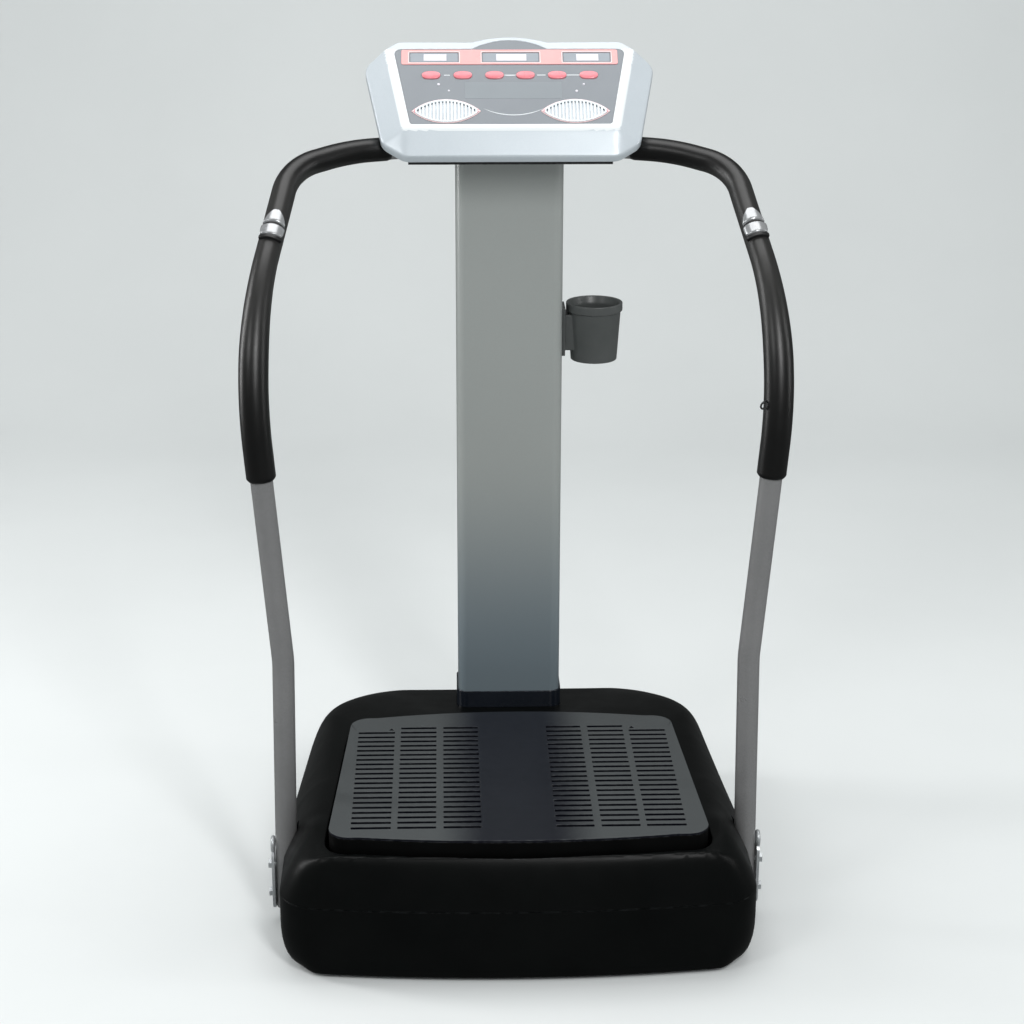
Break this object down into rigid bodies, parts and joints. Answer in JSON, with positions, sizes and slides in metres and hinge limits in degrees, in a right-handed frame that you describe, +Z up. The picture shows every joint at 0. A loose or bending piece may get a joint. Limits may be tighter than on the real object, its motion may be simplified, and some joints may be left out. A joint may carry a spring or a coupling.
{
  "type": "vibration plate",
  "caption": "Standing vibration plate: rocking slotted platform on a shelled base, upright column with tilted console, curved padded side handles and a cup holder.",
  "frame": {"origin": "on the floor under the centre of the base footprint (middle of the width, and 350 mm behind the lower front edge)", "axes": "+Z up, +X to the right of a person standing on the platform facing the console, +Y from the user towards the column"},
  "size_m": [0.7686, 0.6982, 1.2517],
  "materials": {
    "shell_black": "textured black moulding",
    "plate_grey": "dark grey ribbed tread",
    "plate_black": "matt black skirt",
    "board_black": "black painted steel sheet",
    "frame_black": "black powder coat",
    "rubber_black": "soft black rubber",
    "column_silver": "silver grey semi gloss paint",
    "collar_dark": "dark blue black collar",
    "foam_black": "closed cell foam",
    "chrome_plate": "polished contact",
    "zinc": "zinc plated",
    "steel": "machined steel",
    "cast": "cast housing",
    "motor_grey": "motor paint",
    "copper": "winding and core",
    "belt_rubber": "ribbed belt",
    "pcb_green": "circuit board",
    "cup_grey": "dark grey moulding",
    "bezel_silver": "pale silver moulding",
    "lens_grey": "grey glossy overlay",
    "strip_red": "red printed strip",
    "button_red": "red key",
    "led_dark": "dark display window",
    "grille_silver": "pale slotted grille",
    "electric_black": "black insulating plastic",
    "aluminium_p": "machined pulley"
  },
  "bodies": {
    "base": {"lower_shell": "shell_black", "upper_shell": "shell_black", "bottom_cover": "board_black", "base_frame": "frame_black", "rubber_feet": "rubber_black", "motor_housing": "motor_grey", "motor_end_caps": "cast", "motor_stator": "copper", "motor_mount": "frame_black", "drive_belt": "belt_rubber", "bearing_blocks": "cast", "pivot_blocks": "cast", "control_board": "pcb_green", "power_inlet": "electric_black", "switch_housing": "electric_black", "column": "column_silver", "column_socket": "frame_black", "column_collar": "collar_dark", "frame_bolts": "zinc", "head_bracket": "frame_black", "arm_left": "column_silver", "arm_right": "column_silver", "grip_left": "foam_black", "grip_right": "foam_black", "pulse_bases": "electric_black", "pulse_plates_left": "chrome_plate", "pulse_plates_right": "chrome_plate", "foot_brackets": "zinc", "cup_holder": "cup_grey", "console_rear": "electric_black", "console_bezel": "bezel_silver", "console_lens": "lens_grey", "display_strip": "strip_red", "led_displays": "led_dark", "console_board": "pcb_green", "speaker_grilles": "grille_silver", "speakers": "electric_black"},
    "plate": {"plate_tread": "plate_grey", "plate_board": "board_black", "plate_skirt": "plate_black", "plate_frame": "frame_black", "pivot_pins": "steel"},
    "crankshaft": {"crank_shaft": "steel", "eccentrics": "steel", "crank_pulley": "cast"},
    "rotor": {"rotor_shaft": "steel", "rotor_core": "steel", "motor_pulley": "aluminium_p"},
    "link_left": {"rod_left": "cast"},
    "link_right": {"rod_right": "cast"},
    "rocker": {"rocker_switch": "button_red"},
    "roller_left": {"wheel_left": "rubber_black"},
    "roller_right": {"wheel_right": "rubber_black"},
    "key_power": {"button_power": "button_red"},
    "key_mode": {"button_mode": "button_red"},
    "key_time": {"button_time": "button_red"},
    "key_faster": {"button_faster": "button_red"},
    "key_slower": {"button_slower": "button_red"},
    "key_stop": {"button_stop": "button_red"}
  },
  "joints": [
    {"name": "plate_rock", "type": "hinge", "parent": "base", "child": "plate", "pos_m": [0, -0.09, 0.165], "axis": [0, 1, 0], "range_deg": [-2, 2]},
    {"name": "crank_turn", "type": "hinge", "parent": "base", "child": "crankshaft", "pos_m": [0, -0.09, 0.085], "axis": [1, 0, 0], "continuous": true},
    {"name": "rotor_turn", "type": "hinge", "parent": "base", "child": "rotor", "pos_m": [0, 0.02, 0.088], "axis": [1, 0, 0], "continuous": true},
    {"name": "left_rod_turn", "type": "hinge", "parent": "crankshaft", "child": "link_left", "pos_m": [-0.195, -0.097, 0.085], "axis": [1, 0, 0], "continuous": true},
    {"name": "right_rod_turn", "type": "hinge", "parent": "crankshaft", "child": "link_right", "pos_m": [0.195, -0.083, 0.085], "axis": [1, 0, 0], "continuous": true},
    {"name": "rocker_tilt", "type": "hinge", "parent": "base", "child": "rocker", "pos_m": [0.02, 0.344, 0.07], "axis": [1, 0, 0], "range_deg": [-7, 7]},
    {"name": "left_wheel_spin", "type": "hinge", "parent": "base", "child": "roller_left", "pos_m": [-0.17, 0.334, 0.021], "axis": [1, 0, 0], "continuous": true},
    {"name": "right_wheel_spin", "type": "hinge", "parent": "base", "child": "roller_right", "pos_m": [0.17, 0.334, 0.021], "axis": [1, 0, 0], "continuous": true},
    {"name": "power_press", "type": "slide", "parent": "base", "child": "key_power", "axis": [0, -0.6691, 0.7431], "range_m": [-0.001, 0]},
    {"name": "mode_press", "type": "slide", "parent": "base", "child": "key_mode", "axis": [0, -0.6691, 0.7431], "range_m": [-0.001, 0]},
    {"name": "time_press", "type": "slide", "parent": "base", "child": "key_time", "axis": [0, -0.6691, 0.7431], "range_m": [-0.001, 0]},
    {"name": "faster_press", "type": "slide", "parent": "base", "child": "key_faster", "axis": [0, -0.6691, 0.7431], "range_m": [-0.001, 0]},
    {"name": "slower_press", "type": "slide", "parent": "base", "child": "key_slower", "axis": [0, -0.6691, 0.7431], "range_m": [-0.001, 0]},
    {"name": "stop_press", "type": "slide", "parent": "base", "child": "key_stop", "axis": [0, -0.6691, 0.7431], "range_m": [-0.001, 0]}
  ],
  "couplings": [
    {"joint": "rotor_turn", "follows": "crank_turn", "ratio": 2.5},
    {"joint": "left_rod_turn", "follows": "crank_turn", "ratio": -1},
    {"joint": "right_rod_turn", "follows": "crank_turn", "ratio": -1}
  ]
}
